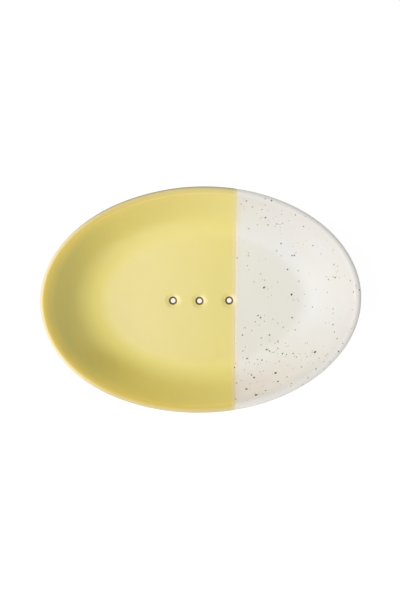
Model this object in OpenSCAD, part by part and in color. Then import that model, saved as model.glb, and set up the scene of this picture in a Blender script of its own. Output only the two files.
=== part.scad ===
// Oval soap dish in stoneware, dipped in two glazes.
// The clay body is one fired piece with a foot ring and three drain holes.
// Each glaze is a thin glass coat fused to the clay. The two meet at the dip line
// and leave the tread of the foot bare.
// The origin is the middle of the foot on the table, X runs along the dish, Z is up.

/* [Dish] */
// Overall length over the glazed rim
dish_length = 150; // [140:1:170]
// Overall width over the glazed rim
dish_width = 106; // [100:1:120]
// Overall height over the glazed rim
dish_height = 28; // [24:0.5:34]

/* [Wall and floor] */
// Thickness of the clay at the rim
rim_thickness = 2.4; // [2:0.1:3.6]
// Thickness of the clay across the floor
floor_thickness = 4.5; // [3:0.1:6]
// Length of the level floor
floor_length = 84; // [83:1:96]
// Width of the level floor
floor_width = 56; // [55:1:70]
// Share of the wall that curves up from the floor before it runs straight
curve_share = 0.88; // [0.6:0.02:0.96]

/* [Foot] */
// Overall length of the foot ring
foot_length = 80; // [60:1:81]
// Overall width of the foot ring
foot_width = 52; // [40:1:53]
// Height of the foot ring under the floor
foot_height = 3.5; // [3:0.1:6]
// Width of the foot ring
foot_tread = 5.5; // [4:0.5:8]
// Bevel along both edges of the tread
foot_bevel = 0.8; // [0.4:0.1:1.2]
// Radius of the hollow between the foot ring and the floor
foot_fillet = 1.4; // [0.8:0.1:1.5]
// Width of the drain notches in the foot, measured on the table
notch_width = 12; // [8:1:20]
// Height of the drain notches
notch_height = 2.2; // [1.5:0.1:2.5]

/* [Drain holes] */
// Diameter of the holes in the clay
hole_diameter = 3.2; // [2.6:0.1:5]
// Diameter of the flare round each hole in the clay floor
flare_diameter = 4.2; // [3.6:0.1:7]
// Depth of the flare
flare_depth = 1.2; // [0.6:0.1:2]
// Place of the left hole along the dish, to the left of the middle
left_hole = 13.1; // [8:0.1:20]
// Place of the middle hole along the dish, to the left of the middle
middle_hole = 0.6; // [0:0.1:4]
// Place of the right hole along the dish
right_hole = 13.4; // [6:0.1:13.6]
// How far the row of holes lies in front of the middle
hole_row = 0.5; // [0:0.1:5]

/* [Glaze] */
// Thickness of the glaze coats
glaze_thickness = 0.4; // [0.2:0.05:0.6]
// Where the glazes meet along the dish
dip_line = 16.6; // [16.4:0.1:30]
// How far the yellow glaze laps over the speckled one
lap_width = 1.4; // [0.6:0.1:2]
// Lean of the line where the glazes meet
dip_lean = 2; // [-6:0.5:6]
// Bare clay above the table
bare_height = 1.2; // [0.9:0.1:1.8]

/* [Hidden] */
// Points round a ring
sides = 60;
// Rings along the curve of the wall
curve_steps = 7;
// Rings over the rim: up its outside, over the top and down its inside
outer_rim_steps = 2;
top_rim_steps = 3;
inner_rim_steps = 3;
// Rings round the hollow of the foot
fillet_steps = 2;
// How far every cut runs past what it cuts
overrun = 0.5;

rim_reach = rim_thickness / 2 + glaze_thickness;
rim_length = dish_length - 2 * rim_reach;
rim_width = dish_width - 2 * rim_reach;
rim_middle = dish_height - rim_reach;
floor_middle = foot_height + floor_thickness / 2;
floor_top = foot_height + floor_thickness;
hole_places = [[-left_hole, -hole_row], [-middle_hole, -hole_row], [right_hole, -hole_row]];

function mix(from, to, share) = from + (to - from) * share;
function unit(v) = v / norm(v);
function turn(i) = 360 * i / sides;

// The wall is an oval that grows from the floor at share 0 to the rim at share 1.
// It is drawn through the middle of the clay.
function wall_length(share) = mix(floor_length, rim_length, share);
function wall_width(share) = mix(floor_width, rim_width, share);
function wall_thickness(share) = mix(floor_thickness, rim_thickness, share);

// Rise of the wall. Its slope grows slowly out of the floor and slowly into the straight part.
function along_curve(share) = min(share / curve_share, 1);
function rise_share(share) = let(t = along_curve(share))
  (curve_share * (t ^ 3 - t ^ 4 / 2) + max(share - curve_share, 0)) / (1 - curve_share / 2);
function steepness(share) = let(t = along_curve(share)) t ^ 2 * (3 - 2 * t) / (1 - curve_share / 2);

function wall_point(share, angle) = [
  wall_length(share) / 2 * cos(angle),
  wall_width(share) / 2 * sin(angle),
  mix(floor_middle, rim_middle, rise_share(share))
];

// Square to the wall, pointing out of the dish and down
function wall_normal(share, angle) = let(
    a = wall_length(share),
    b = wall_width(share),
    flare_a = rim_length - floor_length,
    flare_b = rim_width - floor_width,
    climb = 2 * (rim_middle - floor_middle) * steepness(share)
  ) unit([
    b * climb * cos(angle),
    a * climb * sin(angle),
    -(a * flare_b * sin(angle) ^ 2 + b * flare_a * cos(angle) ^ 2)
  ]);

// One ring on a face of the wall: side 1 is the outside and side -1 the inside
function wall_ring(share, side, coat) = [
  for (i = [0 : sides - 1])
    wall_point(share, turn(i))
      + wall_normal(share, turn(i)) * side * (wall_thickness(share) / 2 + coat)
];

// One ring over the rim, from the wall's inside at step 0 to its outside
function rim_angle(down, step) =
  step < inner_rim_steps ? mix(180 - down, 90, step / inner_rim_steps)
  : step < inner_rim_steps + top_rim_steps ? mix(90, 0, (step - inner_rim_steps) / top_rim_steps)
  : mix(0, -down, (step - inner_rim_steps - top_rim_steps) / outer_rim_steps);
function rim_ring(step, coat) = [
  for (i = [0 : sides - 1])
    let(
      normal = wall_normal(1, turn(i)),
      level = unit([normal[0], normal[1], 0]),
      angle = rim_angle(asin(-normal[2]), step)
    )
    wall_point(1, turn(i))
      + (level * cos(angle) + [0, 0, sin(angle)]) * (rim_thickness / 2 + coat)
];

// One level ring, grown or shrunk from the outside of the foot
function foot_ring(grow, z) = [
  for (i = [0 : sides - 1])
    [(foot_length / 2 + grow) * cos(turn(i)), (foot_width / 2 + grow) * sin(turn(i)), z]
];
function foot_hollow(step, coat) = let(
    angle = 90 * step / fillet_steps,
    radius = foot_fillet - coat
  ) [foot_fillet - radius * sin(angle), foot_height - foot_fillet + radius * cos(angle)];

// All the rings, from the middle of the floor, over the rim and to the middle underneath
function dish_rings(coat) = let(
    curve_shares = [for (k = [0 : curve_steps]) curve_share * k / curve_steps],
    rim_steps = inner_rim_steps + top_rim_steps + outer_rim_steps,
    point_grow = -foot_bevel - overrun
  ) concat(
    [for (share = curve_shares) wall_ring(share, -1, coat)],
    [for (step = [0 : rim_steps]) rim_ring(step, coat)],
    [for (k = [0 : curve_steps]) wall_ring(curve_shares[curve_steps - k], 1, coat)],
    [for (k = [0 : fillet_steps]) let(p = foot_hollow(k, coat)) foot_ring(p[0], p[1])],
    [foot_ring(coat, foot_bevel), foot_ring(coat + point_grow, -overrun)],
    [foot_ring(-foot_tread - coat - point_grow, -overrun), foot_ring(-foot_tread - coat, foot_bevel)],
    [for (k = [fillet_steps : -1 : 0]) let(p = foot_hollow(k, coat)) foot_ring(-foot_tread - p[0], p[1])]
  );

// A closed solid through rings that run from the inside of the dish to its underside
module loft(rings) {
  last = len(rings) - 1;
  first_cap = [for (i = [sides - 1 : -1 : 0]) i];
  last_cap = [for (i = [0 : sides - 1]) last * sides + i];
  bands = [
    for (r = [0 : last - 1], i = [0 : sides - 1])
      let(a = r * sides + i, b = r * sides + (i + 1) % sides)
      each [[a, b, b + sides], [a, b + sides, a + sides]]
  ];
  polyhedron(points = [for (ring = rings) each ring], faces = concat([first_cap], bands, [last_cap]));
}

// The dish without holes, grown on every side by the thickness of a coat
module dish_form(coat) {
  loft(dish_rings(coat));
}

// Everything below a height
module below(height) {
  translate([-dish_length, -dish_width, height - dish_height])
    cube([2 * dish_length, 2 * dish_width, dish_height]);
}

// One drain hole with its flared mouth, narrowed by a coat
module drain_hole(coat) {
  radius = hole_diameter / 2 - coat;
  slope = (flare_diameter - hole_diameter) / 2 / flare_depth;
  flare_foot = floor_top - flare_depth;
  mouth = floor_top + glaze_thickness + overrun;
  rotate_extrude($fn = 48)
    polygon([
      [0, 0],
      [radius, 0],
      [radius, flare_foot],
      [radius + slope * (mouth - flare_foot), mouth],
      [0, mouth]
    ]);
}

// The round notches that let water out under the foot, narrowed by a coat
module drain_notches(coat) {
  radius = (notch_width ^ 2 / 4 + notch_height ^ 2) / (2 * notch_height);
  translate([0, 0, notch_height - radius])
    rotate([90, 0, 0])
      cylinder(r = radius - coat, h = dish_width, center = true, $fn = 96);
}

module water_ways(coat) {
  for (place = hole_places)
    translate([place[0], place[1], 0])
      drain_hole(coat);
  drain_notches(coat);
}

// The clay with its water ways, before the foot is ground flat
module clay() {
  difference() {
    dish_form(0);
    water_ways(0);
  }
}

module stoneware_body() {
  color("#cdbfa6")
    difference() {
      clay();
      below(0);
    }
}

// The whole coat: the grown dish without the clay, its lined water ways and the bare foot
module glaze_coat() {
  difference() {
    dish_form(glaze_thickness);
    clay();
    below(bare_height);
    water_ways(glaze_thickness);
  }
}

// Everything to the left (side -1) or the right (side 1) of a line across the dish
module dip_side(side, line) {
  rotate([0, 0, -dip_lean])
    translate([line + (side < 0 ? -2 * dish_length : 0), -dish_width, -overrun])
      cube([2 * dish_length, 2 * dish_width, dish_height + 2 * overrun]);
}

// The speckled glaze goes on first. The yellow laps over it as far as the dip line,
// and each has half the thickness of the coat in the lap.
module yellow_glaze() {
  color("#e7d88f")
    difference() {
      intersection() {
        glaze_coat();
        dip_side(-1, dip_line);
      }
      intersection() {
        dish_form(glaze_thickness / 2);
        dip_side(1, dip_line - lap_width);
      }
    }
}

module speckled_glaze() {
  color("#e6e2d6")
    difference() {
      intersection() {
        glaze_coat();
        dip_side(1, dip_line - lap_width);
      }
      difference() {
        dip_side(-1, dip_line);
        dish_form(glaze_thickness / 2);
      }
    }
}

stoneware_body();
yellow_glaze();
speckled_glaze();
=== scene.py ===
import math
import random

import bpy
import numpy as np
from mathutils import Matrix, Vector, bvhtree, geometry, noise


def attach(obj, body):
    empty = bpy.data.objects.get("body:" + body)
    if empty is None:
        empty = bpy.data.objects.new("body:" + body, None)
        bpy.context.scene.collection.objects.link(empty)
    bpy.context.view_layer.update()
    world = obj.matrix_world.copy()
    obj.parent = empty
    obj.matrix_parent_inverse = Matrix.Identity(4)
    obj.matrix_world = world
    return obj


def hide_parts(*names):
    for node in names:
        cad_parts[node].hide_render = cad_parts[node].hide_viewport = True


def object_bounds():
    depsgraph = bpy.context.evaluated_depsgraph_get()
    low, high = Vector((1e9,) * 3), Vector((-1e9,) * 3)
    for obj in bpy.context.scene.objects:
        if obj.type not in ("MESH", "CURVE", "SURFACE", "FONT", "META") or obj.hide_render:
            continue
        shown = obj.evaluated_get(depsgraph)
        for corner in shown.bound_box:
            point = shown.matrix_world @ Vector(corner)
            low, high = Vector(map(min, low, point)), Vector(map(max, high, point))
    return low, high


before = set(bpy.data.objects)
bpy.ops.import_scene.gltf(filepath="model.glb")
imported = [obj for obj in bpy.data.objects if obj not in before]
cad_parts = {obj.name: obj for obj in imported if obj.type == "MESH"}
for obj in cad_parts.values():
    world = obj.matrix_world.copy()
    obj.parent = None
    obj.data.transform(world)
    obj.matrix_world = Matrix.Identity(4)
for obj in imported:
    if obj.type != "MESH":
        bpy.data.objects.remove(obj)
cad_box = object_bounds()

# An oval soap dish in stoneware, dipped in a speckled and then in a yellow glaze.
# Its shape is worked out in millimetres, the unit of all the sizes below, and becomes metres
# where a piece is made.
MM = 0.001

# Overall sizes, from the frame
dish_length = (cad_box[1].x - cad_box[0].x) / MM
dish_width = (cad_box[1].y - cad_box[0].y) / MM
dish_height = (cad_box[1].z - cad_box[0].z) / MM

# The clay. At the rim it is thicker than the CAD's by what its glaze there is thinner.
RIM_THICKNESS = 2.7
FLOOR_THICKNESS = 4.5
FLOOR_LENGTH = 84.0
FLOOR_WIDTH = 56.0
FOOT_LENGTH = 80.0
FOOT_WIDTH = 52.0
FOOT_HEIGHT = 3.5
FOOT_TREAD = 5.5
FOOT_EDGE = 0.8
FOOT_FILLET = 1.4
NOTCH_WIDTH = 12.0
NOTCH_HEIGHT = 2.2
# Share of the wall that curves up from the floor before it runs straight
CURVE_SHARE = 0.88
# Near the rim the wall eases outward again, by this share of its slope
EASE_START = 0.84
EASE = 0.12
# The rim was cut level and sponged: a small round outside, and a wide one that leans in to the
# wall. Its top stands this far above the middle of the wall's end, and that middle lies this far
# in from the overall size, along and across the dish.
RIM_EDGE_RADIUS = 1.1
RIM_TOP = 0.27
RIM_INSET = (1.2, 1.42)
# Where the holes were punched, along and across the dish, the radius of their bore and of their
# rounded mouth, how deep that mouth is, and the round at their lower edge
HOLES = ((-13.0, -0.2), (-0.5, -0.6), (13.5, -0.7))
HOLE_RADIUS = 1.5
HOLE_MOUTH = 2.4
HOLE_MOUTH_DEPTH = 1.3
HOLE_LOWER_EDGE = 0.4
# The punch dragged the wet clay down round each hole, in a dimple that still falls where the
# mouth starts. It would be level at this share of the way to there.
DIMPLE_RADIUS = 4.0
DIMPLE_DEPTH = 0.5
DIMPLE_LEVEL_SHARE = 1.15
# How far pressing and sponging leave the clay from even, over what lengths, and the share of
# the short swells
SWELL = 0.09
LONG_SWELL = 38.0
SHORT_SWELL = 13.0
SHORT_SWELL_SHARE = 0.4
# Where the wall was pushed out of true: the way round in degrees, how far round that reaches, and
# how far out the rim was pushed
PUSHED = ((218, 22, 0.55), (113, 20, -0.28))

# How thick a glaze lies, and how thick the CAD has it. It is thinner over the rim, where it runs
# off as it melts, between these heights over the middle of the clay there.
GLAZE = 0.36
CAD_GLAZE = 0.4
GLAZE_ON_RIM = 0.26
RIM_THINNING = (-1.5, 1.0)
# Where the two glazes meet along the dish, and how that line leans
DIP_LINE = 16.6
DIP_LEAN = math.radians(1.7)
# The yellow glaze laps this far over the speckled one, each with this share of its thickness
# there. The yellow's edge is rounded, and the speckled one thickens along this stretch.
LAP = 1.4
LAP_SHARE = 0.5
DIP_EDGE_RADIUS = 0.9
UNDER_LAP = (-0.5, -0.1)
# Both end above the table in a rounded edge, which keeps a hair of thickness
BARE_HEIGHT = 1.2
FOOT_EDGE_RADIUS = 0.5
HAIR = 0.01
# How far the dip line and the edge over the foot wander, and over what lengths
DIP_WANDER = 0.12
DIP_WANDER_LENGTH = 12.0
BARE_WANDER = 0.2
BARE_WANDER_LENGTH = 11.0
# Roughly the way across the table that the light comes from, for painted light and shade
LIGHT_WAY = math.radians(209)
# A patch of painted shade low in the wall, where the shade begins sharply: its place, how far it
# reaches along and across itself, how it leans, and how much faster it ends on its upper side
SHADE_PATCH_PLACE = (-46.5, -27.5)
SHADE_PATCH_SIZE = (15.0, 7.0)
SHADE_PATCH_TURN = math.radians(-24)
SHADE_PATCH_UPPER_SIDE = 1.6
# Between which distances from the middle of a hole the brown of its mouth ends, and the painted
# highlight beside it
BROWN_END = (2.0, 2.25)
HIGHLIGHT_END = (2.5, 3.1)
# How far from the glaze the bare clay is toasted
FLASH_REACH = 1.6

# How finely the pieces are drawn: points round the dish and round a hole, rings in each stretch
# of the outline, points apart on the floor, and how far in from a glaze's edge it is cut finer
AROUND = 288
AROUND_HOLE = 48
CURVE_RINGS = 26
STRAIGHT_RINGS = 3
RIM_RINGS = 16
FOOT_BEND_RINGS = 6
DIMPLE_RINGS = 9
MOUTH_RINGS = 10
LOWER_EDGE_RINGS = 5
TREAD_SHARES = (0.25, 0.5, 0.75)
UNDER_FLOOR_SHARES = (0.35, 0.7)
BORE_SHARES = (0.33, 0.66, 1)
FLOOR_SPACING = 1.1
EDGE_CUTS = (0.9, 0.5, 0.25, 0.1, 0)

rim_length = dish_length - 2 * RIM_INSET[0]
rim_width = dish_width - 2 * RIM_INSET[1]
rim_middle = dish_height - CAD_GLAZE - RIM_TOP
floor_middle = FOOT_HEIGHT + FLOOR_THICKNESS / 2
floor_top = FOOT_HEIGHT + FLOOR_THICKNESS
turns = np.arange(AROUND) * 2 * math.pi / AROUND


def mix(start, end, share):
    return start + (end - start) * share


def smooth(value, start, end):
    """0 up to the start, 1 from the end on, and a smooth step between them."""
    share = np.clip((value - start) / (end - start), 0, 1)
    return share * share * (3 - 2 * share)


# The wall: an oval that grows from the floor at share 0 to the rim at share 1

def rise(share):
    """How high the middle of the wall stands, as a share, and how steep it is."""
    along = min(share / CURVE_SHARE, 1)
    height = CURVE_SHARE * (along ** 3 - along ** 4 / 2) + max(share - CURVE_SHARE, 0)
    past = max(share - EASE_START, 0) / (1 - EASE_START)
    height -= EASE * (1 - EASE_START) * past ** 2 / 2
    full = 1 - CURVE_SHARE / 2 - EASE * (1 - EASE_START) / 2
    return height / full, (smooth(share, 0, CURVE_SHARE) - EASE * past) / full


def wall(share):
    """Points in the middle of the clay right round the dish, and the way out at each of them."""
    length, width = mix(FLOOR_LENGTH, rim_length, share), mix(FLOOR_WIDTH, rim_width, share)
    height, steepness = rise(share)
    at = np.stack([
        length / 2 * np.cos(turns),
        width / 2 * np.sin(turns),
        np.full(AROUND, mix(floor_middle, rim_middle, height)),
    ], axis=1)
    climb = 2 * (rim_middle - floor_middle) * steepness
    out = np.stack([
        width * climb * np.cos(turns),
        length * climb * np.sin(turns),
        -length * (rim_width - FLOOR_WIDTH) * np.sin(turns) ** 2
        - width * (rim_length - FLOOR_LENGTH) * np.cos(turns) ** 2,
    ], axis=1)
    return at, out / np.linalg.norm(out, axis=1, keepdims=True)


def wall_ring(share, side):
    """One ring on a face of the clay wall: side 1 is the outside and -1 the inside."""
    at, out = wall(share)
    return at + side * out * mix(FLOOR_THICKNESS, RIM_THICKNESS, share) / 2


def rim_ring(share):
    """One ring over the rim, from the inside of the wall at share 0 to its outside at share 1."""
    at, out = wall(1)
    level = out * (1, 1, 0)
    level /= np.linalg.norm(level, axis=1, keepdims=True)
    down = np.arcsin(-out[:, 2:])
    half = RIM_THICKNESS / 2
    if share <= 0.5:
        # The wide round fills all that the small one leaves of the clay's thickness
        radius = (RIM_THICKNESS - RIM_EDGE_RADIUS * (1 + np.sin(down))) / (1 - np.sin(down))
        face = radius - half
        angle = mix(math.pi - down, math.pi / 2, share * 2)
    else:
        radius, face = RIM_EDGE_RADIUS, half - RIM_EDGE_RADIUS
        angle = mix(math.pi / 2, -down, share * 2 - 1)
    middle = (face + (RIM_TOP - radius) * np.sin(down)) / np.cos(down)
    height = RIM_TOP - radius + radius * np.sin(angle)
    return at + level * (middle + radius * np.cos(angle)) + np.array((0, 0, 1)) * height


def with_notches(ring):
    """The foot is drawn up where the round drain notches cross it."""
    radius = (NOTCH_WIDTH ** 2 / 4 + NOTCH_HEIGHT ** 2) / (2 * NOTCH_HEIGHT)
    arch = np.sqrt(np.maximum(radius ** 2 - ring[:, 0] ** 2, 0)) - radius + NOTCH_HEIGHT
    left = 1 - np.maximum(arch, 0) / FOOT_HEIGHT
    ring[:, 2] = FOOT_HEIGHT - (FOOT_HEIGHT - ring[:, 2]) * left
    return ring


def foot_ring(grow, height):
    """One ring of the foot, grown or shrunk from its outside."""
    ring = np.stack([
        (FOOT_LENGTH / 2 + grow) * np.cos(turns),
        (FOOT_WIDTH / 2 + grow) * np.sin(turns),
        np.full(AROUND, float(height)),
    ], axis=1)
    return with_notches(ring)


def foot_rings():
    """From the floor's underside down the outside of the foot, over its tread and up its inside."""
    quarter = np.linspace(0, math.pi / 2, FOOT_BEND_RINGS)
    inside = -FOOT_TREAD
    hollow = [(FOOT_FILLET * (1 - math.sin(a)), FOOT_HEIGHT - FOOT_FILLET * (1 - math.cos(a)))
              for a in quarter]
    edge = [(-FOOT_EDGE * (1 - math.cos(a)), FOOT_EDGE * (1 - math.sin(a))) for a in quarter]
    tread = [(mix(-FOOT_EDGE, inside + FOOT_EDGE, share), 0) for share in TREAD_SHARES]
    outline = hollow + edge + tread
    outline += [(inside - grow, height) for grow, height in edge[::-1] + hollow[::-1]]
    return [foot_ring(grow, height) for grow, height in outline]


# Sheets of clay with holes in them

def from_holes(x, y):
    """How far a place lies from the middle of the nearest hole."""
    return np.min([np.hypot(x - hole_x, y - hole_y) for hole_x, hole_y in HOLES], axis=0)


def punched_sheet(outer, rings):
    """Triangles between an oval ring and the rings round the holes, over evenly spaced points."""
    size = np.abs(outer[:, :2]).max(axis=0)
    ring_radius = np.hypot(*(rings[0][0, :2] - HOLES[0]))
    # The points between keep clear of the rings
    clear_radius = ring_radius + FLOOR_SPACING * 0.7
    points = []
    for row, y in enumerate(np.arange(-size[1], size[1], FLOOR_SPACING * math.sqrt(3) / 2)):
        shift = FLOOR_SPACING / 2 * (row % 2)
        for x in np.arange(-size[0] + shift, size[0], FLOOR_SPACING):
            inside = math.hypot(x / size[0], y / size[1]) < 1 - FLOOR_SPACING / size.min()
            if inside and from_holes(x, y) > clear_radius:
                points.append((x, y, outer[0, 2]))
    loops = [outer] + list(rings)
    corners = np.vstack(loops + [np.array(points)])
    edges, start = [], 0
    for loop in loops:
        edges += [(start + i, start + (i + 1) % len(loop)) for i in range(len(loop))]
        start += len(loop)
    flat = [Vector(corner[:2]) for corner in corners]
    every_triangle, nearness = 0, 1e-6
    _, _, faces, origins, _, _ = geometry.delaunay_2d_cdt(
        flat, edges, [], every_triangle, nearness)
    # The triangles that fill the holes go: their middles lie well within a hole's ring
    almost = 0.999
    kept = []
    for face in faces:
        corner = [origins[i][0] for i in face]
        if from_holes(*corners[corner].mean(axis=0)[:2]) > ring_radius * almost:
            kept.append(corner)
    return corners, kept


def hole_outline():
    """Radius and height down a drain hole: its dimple, rounded mouth, bore and lower edge."""
    dimple = [(mix(DIMPLE_RADIUS, HOLE_MOUTH, share),
               floor_top - DIMPLE_DEPTH * smooth(share, 0, DIMPLE_LEVEL_SHARE))
              for share in np.linspace(0, 1, DIMPLE_RINGS)]
    brim = dimple[-1][1]
    mouth = [(HOLE_MOUTH - (HOLE_MOUTH - HOLE_RADIUS) * math.sin(a),
              brim - HOLE_MOUTH_DEPTH * (1 - math.cos(a)))
             for a in np.linspace(0, math.pi / 2, MOUTH_RINGS)[1:]]
    bore_top = mouth[-1][1]
    bore_foot = FOOT_HEIGHT + HOLE_LOWER_EDGE
    bore = [(HOLE_RADIUS, mix(bore_top, bore_foot, share)) for share in BORE_SHARES]
    edge = [(HOLE_RADIUS + HOLE_LOWER_EDGE * (1 - math.cos(a)),
             bore_foot - HOLE_LOWER_EDGE * math.sin(a))
            for a in np.linspace(0, math.pi / 2, LOWER_EDGE_RINGS)[1:]]
    return dimple + mouth + bore + edge


def outline_rings():
    """The rings round the dish, from the edge of its floor, over its rim, to inside its foot."""
    curve = [CURVE_SHARE * i / CURVE_RINGS for i in range(CURVE_RINGS)]
    straight = [mix(CURVE_SHARE, 1, i / STRAIGHT_RINGS) for i in range(STRAIGHT_RINGS)]
    rings = [wall_ring(share, -1) for share in curve]
    rings += [rim_ring(i / RIM_RINGS) for i in range(RIM_RINGS + 1)]
    rings += [wall_ring(share, 1) for share in reversed(curve + straight)]
    foot = foot_rings()
    last = rings[-1]
    rings += [mix(last, foot[0], share) * (1, 1, 0) + (0, 0, FOOT_HEIGHT)
              for share in UNDER_FLOOR_SHARES]
    return rings + foot


def hole_rings():
    """The rings down each drain hole."""
    spin = np.arange(AROUND_HOLE) * 2 * math.pi / AROUND_HOLE
    circle = np.stack([np.cos(spin), np.sin(spin)], axis=1)
    outline = hole_outline()
    return [[np.column_stack([circle * radius + hole, np.full(AROUND_HOLE, height)])
             for radius, height in outline] for hole in HOLES]


def clay_skin():
    """The whole surface of the clay as triangles: floor, wall, rim, outside, foot and holes."""
    rings, tubes = outline_rings(), hole_rings()
    points, corners = [], []

    def lay(block):
        """Adds a block of points, and gives the number of its first one."""
        start = sum(len(p) for p in points)
        points.append(np.asarray(block, float))
        return start

    def join(start_a, start_b, count, step):
        """Joins two rings by pairs of triangles, whose diagonals take turns from step to step."""
        for i in range(count):
            j = (i + 1) % count
            a, b, c, d = start_a + i, start_a + j, start_b + j, start_b + i
            pair = [(a, c, b), (a, d, c)] if (i + step) % 2 else [(a, d, b), (b, d, c)]
            corners.extend(pair)

    upper, upper_faces = punched_sheet(rings[0], [tube[0] for tube in tubes])
    upper_start = lay(upper)
    corners.extend([tuple(upper_start + i for i in face) for face in upper_faces])
    previous = upper_start
    for step, ring in enumerate(rings[1:-1]):
        start = lay(ring)
        join(previous, start, AROUND, step)
        previous = start
    lower, lower_faces = punched_sheet(rings[-1], [tube[-1] for tube in tubes])
    lower_start = lay(lower)
    join(previous, lower_start, AROUND, 0)
    corners.extend([tuple(lower_start + i for i in reversed(face)) for face in lower_faces])
    for hole, tube in enumerate(tubes):
        previous = upper_start + AROUND + hole * AROUND_HOLE
        for step, ring in enumerate(tube[1:-1]):
            start = lay(ring)
            join(start, previous, AROUND_HOLE, step)
            previous = start
        join(lower_start + AROUND + hole * AROUND_HOLE, previous, AROUND_HOLE, 0)
    return np.vstack(points), np.array(corners)


def normals_of(points, corners):
    """The way out of the surface at each point."""
    a, b, c = (points[corners[:, i]] for i in range(3))
    face = np.cross(b - a, c - a)
    total = np.zeros_like(points)
    for i in range(3):
        np.add.at(total, corners[:, i], face)
    return total / np.maximum(np.linalg.norm(total, axis=1, keepdims=True), 1e-12)


def wander(points, length, start=0.0):
    """A slow random value at each point, about -1 to 1, that changes over a length.

    Each start gives a pattern of its own.
    """
    return np.array([noise.noise(Vector(p / length + start)) for p in points])


def uneven(points, corners):
    """The clay as pressing and sponging leave it, a little uneven everywhere but on its foot."""
    swell = wander(points, LONG_SWELL) + SHORT_SWELL_SHARE * wander(points, SHORT_SWELL)
    off_the_foot = smooth(points[:, 2], FOOT_HEIGHT + 1, floor_top + 1)
    return points + normals_of(points, corners) * (SWELL * swell * off_the_foot)[:, None]


def out_of_true(points):
    """The wall pushed out or in at places, more and more towards the rim."""
    oval = points / (dish_length, dish_width, 1)
    way = np.degrees(np.arctan2(oval[:, 1], oval[:, 0])) % 360
    pushed = sum(far * np.exp(-((way - middle) / reach) ** 2) for middle, reach, far in PUSHED)
    outward = oval / (dish_length, dish_width, 1) * (1, 1, 0)
    outward /= np.maximum(np.linalg.norm(outward, axis=1, keepdims=True), 1e-9)
    return points + outward * (pushed * smooth(points[:, 2], floor_top, dish_height))[:, None]


# Glaze coats, cut out of the skin of the clay
# Every point of a sheet of skin carries its place, the way out, how far it lies past the dip
# line, and how far above the bare clay.
AT, OUT, DIP, BARE = slice(0, 3), slice(3, 6), 6, 7


def sides_of(corners):
    """The three sides of every triangle, each as its two points in their order round it."""
    return np.vstack([corners[:, (0, 1)], corners[:, (1, 2)], corners[:, (2, 0)]])


def cut_along(sheet, corners, field):
    """Splits the triangles along the line where field is 0, and keeps every piece."""
    # No point lies right on the line
    tiny = 1e-5
    height = field(sheet)
    height[np.abs(height) < tiny] = tiny
    above = height > 0
    edges = np.unique(np.sort(sides_of(corners), axis=1), axis=0)
    crossing = edges[above[edges[:, 0]] != above[edges[:, 1]]]
    start, end = height[crossing[:, 0]], height[crossing[:, 1]]
    share = (start / (start - end))[:, None]
    fresh = sheet[crossing[:, 0]] * (1 - share) + sheet[crossing[:, 1]] * share
    number = {tuple(edge): len(sheet) + i for i, edge in enumerate(crossing)}
    split = above[corners].any(axis=1) & ~above[corners].all(axis=1)
    result = [corners[~split]]
    extra = []
    for tri in corners[split]:
        side = above[tri]
        lone = int(np.argmax(side)) if side.sum() == 1 else int(np.argmin(side))
        a, b, c = tri[lone], tri[(lone + 1) % 3], tri[(lone + 2) % 3]
        ab = number[(min(a, b), max(a, b))]
        ca = number[(min(a, c), max(a, c))]
        extra += [(a, ab, ca), (ab, b, c), (ab, c, ca)]
    if extra:
        result.append(np.array(extra))
    return np.vstack([sheet, fresh]), np.vstack(result)


def keep(sheet, corners, field):
    """Only the triangles where field is above 0, with unused points dropped."""
    middle = field(sheet)[corners].mean(axis=1)
    corners = corners[middle > 0]
    used, renumbered = np.unique(corners, return_inverse=True)
    return sheet[used], renumbered.reshape(-1, 3)


def glaze_edges(sheet, corners, side, reach):
    """The skin on one side of the dip line and above the bare foot, cut finer near its edges."""
    for step in EDGE_CUTS:
        sheet, corners = cut_along(sheet, corners, lambda s: side * s[:, DIP] + reach - step)
        sheet, corners = cut_along(sheet, corners, lambda s: s[:, BARE] - step)
    sheet, corners = keep(sheet, corners, lambda s: side * s[:, DIP] + reach)
    return keep(sheet, corners, lambda s: s[:, BARE])


def rounded(distance, radius):
    """The height of a rounded edge, as a share, at a distance in from it."""
    share = np.clip(distance / radius, 0, 1)
    return np.sqrt(np.maximum(1 - (1 - share) ** 2, 0))


def glaze_thickness(sheet):
    """How thick a coat is at each point, apart from the lap."""
    on_rim = smooth(sheet[:, 2] - rim_middle, *RIM_THINNING)
    return mix(GLAZE, GLAZE_ON_RIM, on_rim) * rounded(sheet[:, BARE] + HAIR, FOOT_EDGE_RADIUS)


def make_piece(name, points, faces, paint):
    mesh = bpy.data.meshes.new(name)
    mesh.from_pydata((points * MM).tolist(), [], faces.tolist())
    mesh.shade_smooth()
    mesh.materials.append(paint)
    piece = bpy.data.objects.new(name, mesh)
    bpy.context.scene.collection.objects.link(piece)
    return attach(piece, "root")


def coat_piece(name, sheet, corners, thickness, paint):
    """A closed glass coat, whose outer face stands off the clay by its thickness."""
    outer = sheet[:, AT] + sheet[:, OUT] * thickness[:, None]
    count = len(sheet)
    # A side that only one triangle has is at the coat's edge, where a narrow wall closes it
    sides = sides_of(corners)
    _, first, times = np.unique(
        np.sort(sides, axis=1), axis=0, return_index=True, return_counts=True)
    open_sides = sides[first[times == 1]]
    walls = np.vstack([
        np.column_stack([open_sides[:, 1], open_sides[:, 0], open_sides[:, 0] + count]),
        np.column_stack([open_sides[:, 1], open_sides[:, 0] + count, open_sides[:, 1] + count]),
    ])
    faces = np.vstack([corners, corners[:, ::-1] + count, walls])
    return make_piece(name, np.vstack([outer, sheet[:, AT]]), faces, paint)


# Marks: values at every point of a piece, for its material to read

def mark(piece, name, values):
    values = np.resize(values, len(piece.data.vertices))
    piece.data.attributes.new(name, "FLOAT", "POINT").data.foreach_set("value", values)


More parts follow.
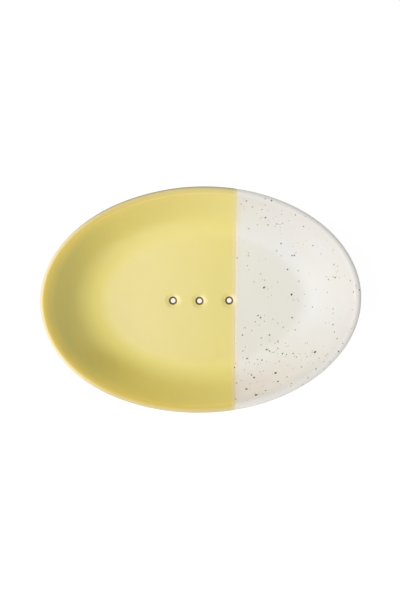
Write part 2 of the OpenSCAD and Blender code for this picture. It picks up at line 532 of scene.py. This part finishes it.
def wall_share(sheet):
    """Where each point lies on the wall: 0 at the edge of the floor and 1 at the rim.

    The oval through it is found by halving a range that holds it.
    """
    low, high = np.full(len(sheet), -1.0), np.full(len(sheet), 1.1)
    for _ in range(20):
        share = (low + high) / 2
        outside = np.hypot(sheet[:, 0] / mix(FLOOR_LENGTH, rim_length, share),
                           sheet[:, 1] / mix(FLOOR_WIDTH, rim_width, share)) > 0.5
        low, high = np.where(outside, share, low), np.where(outside, high, share)
    return share


def low_shade_patch(sheet):
    """Where a patch of painted shade lies low in the wall."""
    x, y = sheet[:, 0] - SHADE_PATCH_PLACE[0], sheet[:, 1] - SHADE_PATCH_PLACE[1]
    along = (x * math.cos(SHADE_PATCH_TURN) + y * math.sin(SHADE_PATCH_TURN)) / SHADE_PATCH_SIZE[0]
    over = (y * math.cos(SHADE_PATCH_TURN) - x * math.sin(SHADE_PATCH_TURN)) / SHADE_PATCH_SIZE[1]
    over = np.where(over > 0, over * SHADE_PATCH_UPPER_SIDE, over)
    return np.exp(-along ** 2 - over ** 2)


def highlight_side(sheet):
    """The side of each hole's mouth away from the light, whose slope faces it: a painted highlight.
    """
    ways = [sheet[:, :2] - hole for hole in HOLES]
    near = np.argmin([np.hypot(*way.T) for way in ways], axis=0)
    way = np.choose(near[:, None], ways)
    way /= np.maximum(np.hypot(*way.T), 1e-6)[:, None]
    return smooth(-way[:, 0] * math.cos(LIGHT_WAY) - way[:, 1] * math.sin(LIGHT_WAY), 0.45, 0.95)


def mark_coat(piece, sheet, side):
    """Tells a coat's material where it lies on the wall, the rim, in a hole and by the dip line."""
    # The height from the top of the dish, below 0 all over
    height = sheet[:, 2] - dish_height
    # How far the surface faces away from the middle of the dish, from -1 to 1
    outward = (sheet[:, OUT] * sheet[:, AT])[:, :2].sum(axis=1)
    outward /= np.maximum(np.hypot(sheet[:, 0], sheet[:, 1]), 1)
    distance = from_holes(sheet[:, 0], sheet[:, 1])
    past_brown, past_highlight = smooth(distance, *BROWN_END), smooth(distance, *HIGHLIGHT_END)
    marks = {
        "up_wall": wall_share(sheet),
        # The inside of the rim, its outer edge, and its crest
        "on_rim": smooth(height, -4.8, 0) * (1 - smooth(outward, 0.15, 0.6)),
        "on_edge": smooth(height, -2.2, -1.2) * smooth(outward, -0.3, 0.6),
        "on_crest": smooth(height, -3, -1.6) * smooth(outward, -0.76, -0.35),
        # A painted highlight on the outer edge at the lamp's side, and painted shade on the top
        # edge
        "lit_rim_edge": smooth(-sheet[:, 0], 40, 68),
        "shaded_rim_edge": smooth(sheet[:, 1], 24, 46) * smooth(outward, 0.45, 0.9),
        "in_hole": 1 - past_brown,
        # A painted highlight beside each hole, on the side away from the light
        "mouth_highlight": highlight_side(sheet) * past_brown * (1 - past_highlight),
        # A patch of painted shade low in the wall
        "shade_patch": low_shade_patch(sheet),
        # How far in from the dip line, and how far towards the side that the light comes from
        "from_dip": side * sheet[:, DIP],
        "toward_light": sheet[:, 0] * math.cos(LIGHT_WAY) + sheet[:, 1] * math.sin(LIGHT_WAY),
    }
    for name, values in marks.items():
        mark(piece, name, values)


# Materials
# A colour mix's setting, its sockets and its result: how much of the upper colour shows, and the
# lower and the upper colour
COLOURS = {"data_type": "RGBA"}
SHARE, LOWER, UPPER = 0, 6, 7
MIXED = 2


def linear(hexcode):
    """An sRGB colour as it is written, turned linear for the shader."""
    parts = [int(hexcode[i:i + 2], 16) / 255 for i in (1, 3, 5)]
    return [p / 12.92 if p <= 0.04045 else ((p + 0.055) / 1.055) ** 2.4 for p in parts] + [1]


def add(tree, kind, settings=(), links=()):
    """Adds a node, with its settings by name and its inputs as values or as sockets."""
    node = tree.nodes.new(kind)
    for key, value in dict(settings).items():
        setattr(node, key, value)
    for key, value in dict(links).items():
        if isinstance(value, bpy.types.NodeSocket):
            tree.links.new(value, node.inputs[key])
        else:
            node.inputs[key].default_value = value
    return node


def new_paint(name):
    paint = bpy.data.materials.new(name)
    paint.use_nodes = True
    paint.node_tree.nodes.clear()
    return paint, paint.node_tree


def finish_paint(tree, shader):
    add(tree, "ShaderNodeOutputMaterial", links={"Surface": shader})


def per_metre(size):
    """A pattern's scale in the shader, from the real size of one of its features."""
    return 1 / (size * MM)


def glaze_relief(tree, place, flow, peel_size, peel_depth, flow_depth):
    """A fired glaze's faint orange peel, on the slow swells of its flow."""
    peel = add(tree, "ShaderNodeTexNoise", links={
        "Vector": place, "Scale": per_metre(peel_size), "Detail": 2.0}).outputs[0]
    relief = add(tree, "ShaderNodeBump", links={
        "Strength": 0.5, "Distance": peel_depth * MM, "Height": peel}).outputs[0]
    return add(tree, "ShaderNodeBump", links={
        "Strength": 0.5, "Distance": flow_depth * MM, "Height": flow,
        "Normal": relief}).outputs[0]


def iron_grains(tree, place, spacing, absent, reach):
    """Where fine iron shows, as round grains in cells of the clay, and a random value in each.

    A share of the cells has none, and the largest grain reaches this share of the spacing.
    """
    cell = add(tree, "ShaderNodeTexVoronoi", links={"Vector": place, "Scale": per_metre(spacing)})
    chance = add(tree, "ShaderNodeSeparateColor", links={0: cell.outputs["Color"]})
    size = add(tree, "ShaderNodeMapRange", links={
        "Value": chance.outputs[0], "From Min": absent, "To Max": reach}).outputs[0]
    grain = add(tree, "ShaderNodeMath", {"operation": "LESS_THAN"}, {
        0: cell.outputs["Distance"], 1: size}).outputs[0]
    return grain, chance.outputs[1]


def yellow_glaze_paint():
    """A dipped zircon glaze in pastel yellow with a satin gloss, over speckled stoneware.

    It is opaque where it lies thick, warmer where it runs thin over the rim, and lets the
    brown of the iron in the clay through on the mouths of the holes. Shade is painted into it on
    the side that the light comes from, on the wall at the far end, in a patch low in the wall,
    in the mouths of the holes and along the top edge; light is painted on the far end of the
    floor, and highlights on the lit edge and beside each hole.
    """
    paint, tree = new_paint("pastel_yellow_glaze")
    place = add(tree, "ShaderNodeTexCoord").outputs["Object"]
    marks = {name: add(tree, "ShaderNodeAttribute", {"attribute_name": name}).outputs["Fac"]
             for name in ("up_wall", "on_rim", "on_edge", "on_crest", "lit_rim_edge", "shaded_rim_edge",
                          "in_hole", "mouth_highlight", "shade_patch", "from_dip", "toward_light")}
    # The glaze flows thicker and thinner over about a centimetre as it melts
    flow = add(tree, "ShaderNodeTexNoise", links={
        "Vector": place, "Scale": per_metre(9), "Detail": 1.0, "Roughness": 0.5}).outputs[0]

    # Shares that grow from one value to another while a mark or the flow goes from low to high
    shares = {}
    for name, value, low, high, start, end in (
            # Where the floor turns up, and where the wall has turned up
            ("turn", marks["up_wall"], -0.03, 0.22, 0, 1),
            ("wall", marks["up_wall"], 0.28, 0.56, 0, 1),
            # Painted light on the floor's far end, and painted shade on the wall at that end
            ("lit_end", marks["from_dip"], 8, 42, 0, 1),
            ("shaded_end", marks["from_dip"], 54, 78, 0, 1),
            # Towards the side that the light comes from, where the wall is in shade
            ("shaded_side", marks["toward_light"], -44, 44, 0, 1),
            # Faint clouds in it, how far the rim shows through it, and its roughness
            ("cloud", flow, 0.35, 0.65, 0, 0.06),
            ("broken", flow, 0.3, 0.7, 0.7, 1),
            ("gloss", flow, 0.3, 0.7, 0.34, 0.44),
            ("edge", marks["from_dip"], 0, 2.1, 0.7, 0)):
        shares[name] = add(tree, "ShaderNodeMapRange", links={
            "Value": value, "From Min": low, "From Max": high,
            "To Min": start, "To Max": end}).outputs[0]
    for name, first, second in (
            ("pooled", shares["turn"], shares["shaded_side"]),
            ("warm", marks["on_rim"], shares["broken"]),
            # A patch of painted shade, and the painted highlight beside each hole
            ("shade_patch", marks["shade_patch"], 0.6),
            ("pale", marks["mouth_highlight"], 0.75)):
        shares[name] = add(tree, "ShaderNodeMath", {"operation": "MULTIPLY"}, {
            0: first, 1: second}).outputs[0]

    tints = {}
    for name, share, lower, upper in (
            # The floor is painted paler towards its far end: painted light
            ("floor", shares["lit_end"], "#e6d886", "#ebde98"),
            # Painted shade: the wall and the rim are deeper on the side that the light comes from
            ("wall", shares["shaded_side"], "#ebde92", "#e9d874"),
            ("rim", shares["shaded_side"], "#ecda8b", "#efd66b"),
            ("crest", shares["shaded_side"], "#dbca81", "#dcc25b"),
            # The outer edge is painted paler on the lamp's side: a painted highlight
            ("lip", marks["lit_rim_edge"], "#d9c892", "#efdcb0")):
        tints[name] = add(tree, "ShaderNodeMix", COLOURS, {
            SHARE: share, LOWER: linear(lower), UPPER: linear(upper)}).outputs[MIXED]
    # The wall is painted deepest at that end: painted shade
    tints["wall"] = add(tree, "ShaderNodeMix", COLOURS, {
        SHARE: shares["shaded_end"], LOWER: tints["wall"], UPPER: linear("#d4c872")}).outputs[MIXED]

    colour = tints["floor"]
    for share, tint in (
            # It pools where the floor turns up, and is painted deeper there on the shaded side
            (shares["pooled"], linear("#ecdf80")),
            (shares["wall"], tints["wall"]),
            (shares["cloud"], linear("#dcc668")),
            # A patch of painted shade low in the wall on that side, where the shade begins sharply
            (shares["shade_patch"], linear("#cdbc62")),
            # It is warm along the top of the rim, where it runs thin, and pale on the outer edge,
            # where it breaks. The edge has a painted highlight on the lamp's side and painted shade
            # on the top
            (shares["warm"], tints["rim"]),
            (marks["on_crest"], tints["crest"]),
            (marks["on_edge"], tints["lip"]),
            (marks["shaded_rim_edge"], linear("#b2a678")),
            # Its thin edge at the dip line lets the pale glaze under it show
            (shares["edge"], linear("#eadfc4")),
            # The mouths are brown where the glaze is thin, painted darker for the shade in them,
            # and have a painted highlight on the side away from the light
            (marks["in_hole"], linear("#86651d")),
            (shares["pale"], linear("#f8f1d4"))):
        colour = add(tree, "ShaderNodeMix", COLOURS, {
            SHARE: share, LOWER: colour, UPPER: tint}).outputs[MIXED]

    # The brown of the mouths is dry and has no shine, and the side with the painted highlight is
    # glassy
    gloss = shares["gloss"]
    for share, roughness in ((marks["in_hole"], 0.9), (marks["mouth_highlight"], 0.15)):
        gloss = add(tree, "ShaderNodeMix", links={
            "Factor": share, "A": gloss, "B": roughness}).outputs[0]
    shine = add(tree, "ShaderNodeMix", links={
        "Factor": marks["in_hole"], "A": 0.5, "B": 0.05}).outputs[0]
    body = add(tree, "ShaderNodeBsdfPrincipled", links={
        "Base Color": colour, "Roughness": gloss, "IOR": 1.5, "Specular IOR Level": shine,
        "Normal": glaze_relief(
            tree, place, flow, peel_size=1.4, peel_depth=0.04, flow_depth=0.2)})
    finish_paint(tree, body.outputs["BSDF"])
    return paint


def speckled_glaze_paint():
    """A dipped glossy off-white glaze with the iron specks of the clay burnt through it.

    It is a milky white, faintly green where it lies thick on the floor, cooler up the wall,
    and warm beside the yellow glaze, which fuses with it. Light is painted into it as a lighter,
    creamier tone towards the side that the light comes from and on the outer edge of the rim.
    """
    paint, tree = new_paint("speckled_white_glaze")
    place = add(tree, "ShaderNodeTexCoord").outputs["Object"]
    marks = {name: add(tree, "ShaderNodeAttribute", {"attribute_name": name}).outputs["Fac"]
             for name in ("up_wall", "on_rim", "on_edge", "from_dip", "toward_light")}
    flow = add(tree, "ShaderNodeTexNoise", links={
        "Vector": place, "Scale": per_metre(14), "Detail": 3.0, "Roughness": 0.5}).outputs[0]
    # The finest iron, grains of half a millimetre and less with about 3 mm between them
    grain, chance = iron_grains(tree, place, spacing=2.6, absent=0.35, reach=0.2)

    shares = {}
    for name, value, low, high, start, end in (
            ("turn", marks["up_wall"], 0.04, 0.24, 0, 1),
            ("wall", marks["up_wall"], 0.3, 0.64, 0, 1),
            # Towards the side that the light comes from, for painted light, and in the corner by
            # the yellow
            ("lower", marks["toward_light"], -50, -8, 0, 1),
            ("corner", marks["toward_light"], -26, -6, 0, 1),
            ("cloud", flow, 0.35, 0.65, 0, 0.3),
            # Where it takes up yellow at the dip line, and how strongly each fine grain shows
            ("bleed", marks["from_dip"], 0, 2.4, 0.9, 0),
            ("grain", chance, 0, 1, 0.1, 0.6)):
        shares[name] = add(tree, "ShaderNodeMapRange", links={
            "Value": value, "From Min": low, "From Max": high,
            "To Min": start, "To Max": end}).outputs[0]
    fine = add(tree, "ShaderNodeMath", {"operation": "MULTIPLY"}, {
        0: grain, 1: shares["grain"]}).outputs[0]

    # The wall is painted lighter and creamier towards the light's side, and is warm in the corner
    pooled, wall = (
        add(tree, "ShaderNodeMix", COLOURS, {
            SHARE: shares["lower"], LOWER: linear(lower), UPPER: linear(upper)}).outputs[MIXED]
        for lower, upper in (("#dedddb", "#ebe9e2"), ("#e4e3e3", "#efece1")))
    wall = add(tree, "ShaderNodeMix", COLOURS, {
        SHARE: shares["corner"], LOWER: wall, UPPER: linear("#efe7e2")}).outputs[MIXED]

    colour = linear("#e5e4d9")
    for share, tint in (
            # Pooled where the floor turns up it is a shade greyer, and painted lighter on the
            # light's side
            (shares["turn"], pooled),
            (shares["wall"], wall),
            (shares["cloud"], linear("#e4dfd4")),
            (marks["on_rim"], linear("#e3dfda")),
            # The outer edge of the rim is painted lighter: painted light
            (marks["on_edge"], linear("#e9e6de")),
            (shares["bleed"], linear("#e9dcc6")),
            (fine, linear("#6d5f4c"))):
        colour = add(tree, "ShaderNodeMix", COLOURS, {
            SHARE: share, LOWER: colour, UPPER: tint}).outputs[MIXED]

    body = add(tree, "ShaderNodeBsdfPrincipled", links={
        "Base Color": colour, "Roughness": 0.42, "IOR": 1.5,
        "Normal": glaze_relief(
            tree, place, flow, peel_size=1.8, peel_depth=0.03, flow_depth=0.3)})
    finish_paint(tree, body.outputs["BSDF"])
    return paint


def iron_paint():
    """Iron oxide that has boiled up through a glaze: brown-black and dull, paler under it."""
    paint, tree = new_paint("burnt_iron_specks")
    burn = add(tree, "ShaderNodeAttribute", {"attribute_name": "burn"}).outputs["Fac"]
    colour = add(tree, "ShaderNodeMix", COLOURS, {
        SHARE: burn, LOWER: linear("#cdbb9c"), UPPER: linear("#2a180b")}).outputs[MIXED]
    body = add(tree, "ShaderNodeBsdfPrincipled", links={
        "Base Color": colour, "Roughness": 0.4, "IOR": 1.5})
    finish_paint(tree, body.outputs["BSDF"])
    return paint


def clay_paint():
    """Buff stoneware as the kiln leaves it bare: matt, sandy, with grains of iron."""
    paint, tree = new_paint("bare_stoneware")
    place = add(tree, "ShaderNodeTexCoord").outputs["Object"]
    flash = add(tree, "ShaderNodeAttribute", {"attribute_name": "by_glaze"}).outputs["Fac"]
    # Sand of half a millimetre, and grains of iron 1.5 mm apart where there are any
    sand = add(tree, "ShaderNodeTexNoise", links={
        "Vector": place, "Scale": per_metre(0.5), "Detail": 3.0, "Roughness": 0.7}).outputs[0]
    iron, _ = iron_grains(tree, place, spacing=1.5, absent=0.6, reach=0.22)
    tone = add(tree, "ShaderNodeMapRange", links={
        "Value": sand, "From Min": 0.3, "From Max": 0.7}).outputs[0]
    # Clay beside a glaze takes up a little of it and burns a warmer brown
    toast = add(tree, "ShaderNodeMath", {"operation": "MULTIPLY"}, {0: flash, 1: 0.6}).outputs[0]
    colour = linear("#bca788")
    for share, tint in ((tone, "#d3c3a6"), (toast, "#9a6d3f"), (iron, "#5a4330")):
        colour = add(tree, "ShaderNodeMix", COLOURS, {
            SHARE: share, LOWER: colour, UPPER: linear(tint)}).outputs[MIXED]
    relief = add(tree, "ShaderNodeBump", links={
        "Strength": 0.6, "Distance": 0.08 * MM, "Height": sand})
    body = add(tree, "ShaderNodeBsdfPrincipled", links={
        "Base Color": colour, "Roughness": 0.85, "IOR": 1.5, "Normal": relief.outputs[0]})
    finish_paint(tree, body.outputs["BSDF"])
    return paint


# The clay and its two coats

points, corners = clay_skin()
points = out_of_true(uneven(points, corners))
past_dip = points[:, 0] * math.cos(DIP_LEAN) - points[:, 1] * math.sin(DIP_LEAN) - DIP_LINE
past_dip += DIP_WANDER * wander(points, DIP_WANDER_LENGTH, start=5.0)
over_bare = points[:, 2] - BARE_HEIGHT
over_bare -= BARE_WANDER * wander(points, BARE_WANDER_LENGTH, start=9.0)
skin = np.column_stack([points, normals_of(points, corners), past_dip, over_bare])

yellow_sheet, yellow_corners = glaze_edges(skin, corners, -1, 0)
over_lap = mix(LAP_SHARE, 1, rounded(-yellow_sheet[:, DIP], DIP_EDGE_RADIUS))
yellow = coat_piece(
    "yellow_glaze_coat", yellow_sheet, yellow_corners,
    glaze_thickness(yellow_sheet) * over_lap, yellow_glaze_paint())
mark_coat(yellow, yellow_sheet, -1)

white_sheet, white_corners = glaze_edges(skin, corners, 1, LAP)
under_lap = mix(LAP_SHARE, 1, smooth(white_sheet[:, DIP], *UNDER_LAP))
white = coat_piece(
    "speckled_glaze_coat", white_sheet, white_corners,
    glaze_thickness(white_sheet) * under_lap, speckled_glaze_paint())
mark_coat(white, white_sheet, 1)

clay = make_piece("stoneware", points, corners, clay_paint())
mark(clay, "by_glaze", smooth(over_bare, -FLASH_REACH, 0))


# Iron specks, as flat lenses that stand a hair out of the glaze
# The size of the photograph and the length of the dish in it, in its pixels
FRAME_PIXELS = (400, 600)
DISH_PIXELS = 322.3
# Those specks that stand out are listed where they show in the photograph
BLACK_SPECKS = ((315, 352), (275.5, 373), (246.5, 389), (256, 395))
LARGE_SPECKS = (
    (265.5, 217.5), (335, 277.5), (264, 287.5), (291.5, 294.5), (278, 381.5), (254, 377.5))
SMALL_SPECKS = (
    (246.5, 201), (241, 204), (252.5, 207), (262, 209.5), (271.5, 200.5), (277, 224),
    (282.5, 223.5), (268, 225), (295.5, 215), (303.5, 226.5), (281, 243.5), (313, 245.5),
    (292, 255.5), (294.5, 255.5), (237, 258), (287.5, 269.5), (334, 264.5), (328.5, 279.5),
    (359.5, 290), (353.5, 292), (312.5, 307), (258, 315.5), (260.5, 317.5), (292, 317.5),
    (333, 324.5), (334.5, 332), (337, 338.5), (242.5, 335), (269.5, 335), (278, 341),
    (266.5, 349.5), (269.5, 351), (282.5, 353.5), (286.5, 354.5), (293, 353.5), (296.5, 357),
    (338.5, 351.5), (247, 358.5), (262, 360), (301.5, 367), (316, 369), (251.5, 375),
    (287, 377), (291.5, 383.5), (265.5, 390.5), (236.5, 383), (234.5, 367.5), (235.5, 399))
# Patches of fine specks: the middle of each, how far it reaches across and down, and how many
# it has
SPECK_PATCHES = (
    ((253, 207), (14, 12), 6), ((277, 219), (22, 16), 12), ((297, 250), (22, 14), 7),
    ((332, 272), (12, 18), 6), ((263, 285), (18, 16), 6), ((292, 296), (14, 10), 4),
    ((354, 296), (5, 14), 3), ((248, 262), (12, 20), 4), ((259, 317), (10, 12), 4),
    ((275, 338), (26, 16), 10), ((290, 355), (52, 11), 26), ((334, 333), (14, 30), 8),
    ((248, 357), (14, 18), 9), ((255, 376), (14, 12), 7), ((282, 380), (22, 14), 8),
    ((253, 394), (18, 8), 6), ((322, 360), (20, 14), 5))
# On the outside of the dish they are all random, in patches of about this length. How far each
# has burnt through the glaze lies between the first two of these, most often near the third.
OUTSIDE_SPECKS = 150
OUTSIDE_PATCH = 16.0
OUTSIDE_BURN = (0.2, 1, 0.5)
SPECK_SEED = 11
# A lens has a sunken ring and a shoulder, as shares of its radius with their heights over the
# glaze, a crown over them and a root under it. It is a little ragged, and narrower one way.
SPECK_SIDES = 10
SPECK_RINGS = ((1.0, -0.012), (0.7, 0.014))
SPECK_CROWN = 0.022
SPECK_ROOT = 0.06
SPECK_RAGGED = (0.85, 1.12)
SPECK_NARROWED = (0.75, 1.0)
# The camera looks straight down. It stands off the middle by this part of a pixel along and
# across, and is rolled by this many degrees.
CAMERA_DISTANCE = 1500.0
CAMERA_SHIFT = (-0.55, -0.4)
CAMERA_ROLL = math.radians(-1.2)

pixel = dish_length / DISH_PIXELS
camera_place = Vector((
    CAMERA_SHIFT[0] * pixel, CAMERA_SHIFT[1] * pixel, CAMERA_DISTANCE + rim_middle))


def glaze_surface():
    """The outer faces of both coats, to lay specks on."""
    places, faces = [], []
    for sheet, sheet_corners, piece in (
            (yellow_sheet, yellow_corners, yellow), (white_sheet, white_corners, white)):
        start = len(places)
        places += [v.co / MM for v in piece.data.vertices[:len(sheet)]]
        faces += (sheet_corners + start).tolist()
    return bvhtree.BVHTree.FromPolygons(places, faces)


def through_pixel(surface, x, y):
    """Where the camera sees the glaze in one pixel of the photograph."""
    across, up = (x - FRAME_PIXELS[0] / 2) * pixel, (FRAME_PIXELS[1] / 2 - y) * pixel
    way = Vector((
        across * math.cos(CAMERA_ROLL) - up * math.sin(CAMERA_ROLL),
        across * math.sin(CAMERA_ROLL) + up * math.cos(CAMERA_ROLL),
        -CAMERA_DISTANCE))
    place, normal, _, _ = surface.ray_cast(camera_place, way)
    return place, normal


def fine_places(chance):
    """Random places for the finest specks, in patches, as the iron lies in the clay."""
    return [(x + across / 2 * chance.gauss(0, 1), y + down / 2 * chance.gauss(0, 1))
            for (x, y), (across, down), count in SPECK_PATCHES for _ in range(count)]


def outside_places(chance, count):
    """Random places on the outside of the speckled coat, denser in some patches than in others."""
    spots = []
    while len(spots) < count:
        tri = white_corners[chance.randrange(len(white_corners))]
        a, b, c = (white_sheet[i, AT] for i in tri)
        area = np.linalg.norm(np.cross(b - a, c - a)) / 2
        faces_up = white_sheet[tri[0], OUT][2] > 0.1
        lapped = white_sheet[tri[0], DIP] < 0.2
        if chance.random() > area or faces_up or lapped:
            continue
        u, v = sorted((chance.random(), chance.random()))
        place = Vector(a * u + b * (v - u) + c * (1 - v))
        # None where the slow noise is below -0.35, and all of them where it is above 0.35
        density = (noise.noise(place / OUTSIDE_PATCH) + 0.35) / 0.7
        if density > chance.random():
            spots.append(place)
    return spots


def speck(chance, surface, place, normal, radius):
    """One lens, closed by its crown and its root."""
    side = normal.orthogonal().normalized()
    other = normal.cross(side)
    narrowed, turn = chance.uniform(*SPECK_NARROWED), chance.uniform(0, math.pi)
    rings = [[], []]
    for i in range(SPECK_SIDES):
        angle = 2 * math.pi * i / SPECK_SIDES + turn
        reach = radius * chance.uniform(*SPECK_RAGGED)
        way = side * math.cos(angle) * reach + other * math.sin(angle) * reach * narrowed
        for ring, (share, lift) in zip(rings, SPECK_RINGS):
            found, facing, _, _ = surface.find_nearest(place + way * share)
            ring.append(found + facing * lift)
    points = rings[0] + rings[1]
    points += [place + normal * SPECK_CROWN, place - normal * SPECK_ROOT]
    crown, root = 2 * SPECK_SIDES, 2 * SPECK_SIDES + 1
    faces = []
    for i in range(SPECK_SIDES):
        j = (i + 1) % SPECK_SIDES
        inner_i, inner_j = SPECK_SIDES + i, SPECK_SIDES + j
        faces += [(i, j, inner_j), (i, inner_j, inner_i), (inner_i, inner_j, crown), (j, i, root)]
    return points, faces


def iron_specks():
    """All the specks as one piece, each with how far it has burnt through the glaze."""
    chance = random.Random(SPECK_SEED)
    surface = glaze_surface()
    laid = []
    # Each kind's places, and the ranges of its radius and its burn
    for spots, radii, burns in (
            (BLACK_SPECKS, (0.76, 0.84), (1.0, 1.0)),
            (LARGE_SPECKS, (0.56, 0.64), (0.85, 1.0)),
            (SMALL_SPECKS, (0.42, 0.54), (0.45, 0.8)),
            (fine_places(chance), (0.22, 0.4), (0.15, 0.45))):
        for x, y in spots:
            place, normal = through_pixel(surface, x, y)
            radius, burn = chance.uniform(*radii), chance.uniform(*burns)
            if place is not None:
                laid.append((place, normal, radius, burn))
    for spot in outside_places(chance, OUTSIDE_SPECKS):
        place, normal, _, _ = surface.find_nearest(spot)
        burn = chance.triangular(*OUTSIDE_BURN)
        # The further it has burnt through, the larger it can be
        radius = 0.2 + 0.25 * burn * chance.random()
        laid.append((place, normal, radius, burn))
    places, faces, burns = [], [], []
    for place, normal, radius, burn in laid:
        lens, lens_faces = speck(chance, surface, place, normal, radius)
        faces += [[len(places) + i for i in face] for face in lens_faces]
        places += lens
        burns += [burn] * len(lens)
    piece = make_piece("iron_specks", np.array(places), np.array(faces), iron_paint())
    mark(piece, "burn", burns)
    return piece


specks = iron_specks()

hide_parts("yellow_glaze")
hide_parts("speckled_glaze")
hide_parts("stoneware_body")


# The floor, the light and the camera, in metres
TABLE_REACH = 3.0
WHITE = (1, 1, 1, 1)
# Square lamps: each one's power in watts, the way to it round the table and up from it in
# degrees, and how far off it is. A soft window lamp stands to the left and a low panel in front
# on the right, and one under the table lights the foot for a look from below.
LAMP_SIZE = 1.0
LAMPS = (
    ("window_lamp", 7.8, 187, 50.5, 0.96),
    ("front_panel", 2.0, 293, 22, 1.2),
    ("foot_panel", 4.0, 0, -90, 1.0))


def floor_paint():
    """Matt white card. To the camera it glows nearly white by itself, and keeps a faint shadow."""
    paint, tree = new_paint("white_table")
    card = add(tree, "ShaderNodeBsdfDiffuse", links={"Color": linear("#f4f4f4")})
    glow = add(tree, "ShaderNodeEmission", links={"Color": WHITE, "Strength": 0.91})
    dim = add(tree, "ShaderNodeBsdfDiffuse", links={"Color": linear("#707070")})
    seen = add(tree, "ShaderNodeAddShader", links={0: glow.outputs[0], 1: dim.outputs[0]})
    path = add(tree, "ShaderNodeLightPath")
    top = add(tree, "ShaderNodeMixShader", links={
        0: path.outputs["Is Camera Ray"], 1: card.outputs[0], 2: seen.outputs[0]})
    # From under the table the dish is seen through it, and lit through it too
    below = add(tree, "ShaderNodeNewGeometry").outputs["Backfacing"]
    through = add(tree, "ShaderNodeMath", {"operation": "MAXIMUM"}, {
        0: below, 1: path.outputs["Is Shadow Ray"]}).outputs[0]
    clear = add(tree, "ShaderNodeBsdfTransparent").outputs[0]
    both = add(tree, "ShaderNodeMixShader", links={0: through, 1: top.outputs[0], 2: clear})
    finish_paint(tree, both.outputs[0])
    return paint


def make_floor():
    mesh = bpy.data.meshes.new("table")
    sides = ((-1, -1), (1, -1), (1, 1), (-1, 1))
    corners = [(x * TABLE_REACH, y * TABLE_REACH, 0) for x, y in sides]
    mesh.from_pydata(corners, [], [(0, 1, 2, 3)])
    mesh.materials.append(floor_paint())
    table = bpy.data.objects.new("table", mesh)
    bpy.context.scene.collection.objects.link(table)


def make_lamp(name, power, azimuth, elevation, distance):
    """A square lamp that looks at the middle of the table."""
    lamp = bpy.data.lights.new(name, "AREA")
    lamp.shape = "SQUARE"
    lamp.size = LAMP_SIZE
    lamp.energy = power
    azimuth, elevation = math.radians(azimuth), math.radians(elevation)
    at = Vector((
        distance * math.cos(azimuth) * math.cos(elevation),
        distance * math.sin(azimuth) * math.cos(elevation),
        distance * math.sin(elevation)))
    holder = bpy.data.objects.new(name, lamp)
    holder.location = at
    holder.rotation_euler = (-at).to_track_quat("-Z", "Y").to_euler()
    bpy.context.scene.collection.objects.link(holder)


def make_world():
    """An even pale fill on the dish. Seen, reflected or looked at through something it is white."""
    world = bpy.data.worlds.new("white_studio")
    world.use_nodes = True
    tree = world.node_tree
    tree.nodes.clear()
    path = add(tree, "ShaderNodeLightPath")
    seen = path.outputs["Is Camera Ray"]
    for ray in ("Is Glossy Ray", "Is Transmission Ray"):
        seen = add(tree, "ShaderNodeMath", {"operation": "MAXIMUM"}, {
            0: seen, 1: path.outputs[ray]}).outputs[0]
    fill = add(tree, "ShaderNodeBackground", links={"Color": WHITE, "Strength": 0.425})
    white_back = add(tree, "ShaderNodeBackground", links={"Color": WHITE, "Strength": 1.0})
    both = add(tree, "ShaderNodeMixShader", links={
        0: seen, 1: fill.outputs[0], 2: white_back.outputs[0]})
    add(tree, "ShaderNodeOutputWorld", links={"Surface": both.outputs[0]})
    bpy.context.scene.world = world


def make_camera():
    """The long lens that looks straight down. Its sensor spans the longer side of the frame."""
    camera = bpy.data.cameras.new("overhead")
    camera.sensor_width = 36
    camera.lens = camera.sensor_width * CAMERA_DISTANCE / (pixel * FRAME_PIXELS[1])
    camera.clip_end = 10
    holder = bpy.data.objects.new("overhead", camera)
    holder.location = camera_place * MM
    holder.rotation_euler = (0, 0, CAMERA_ROLL)
    bpy.context.scene.collection.objects.link(holder)
    bpy.context.scene.camera = holder


make_floor()
make_world()
for lamp in LAMPS:
    make_lamp(*lamp)
make_camera()
bpy.context.scene.view_settings.view_transform = "Standard"
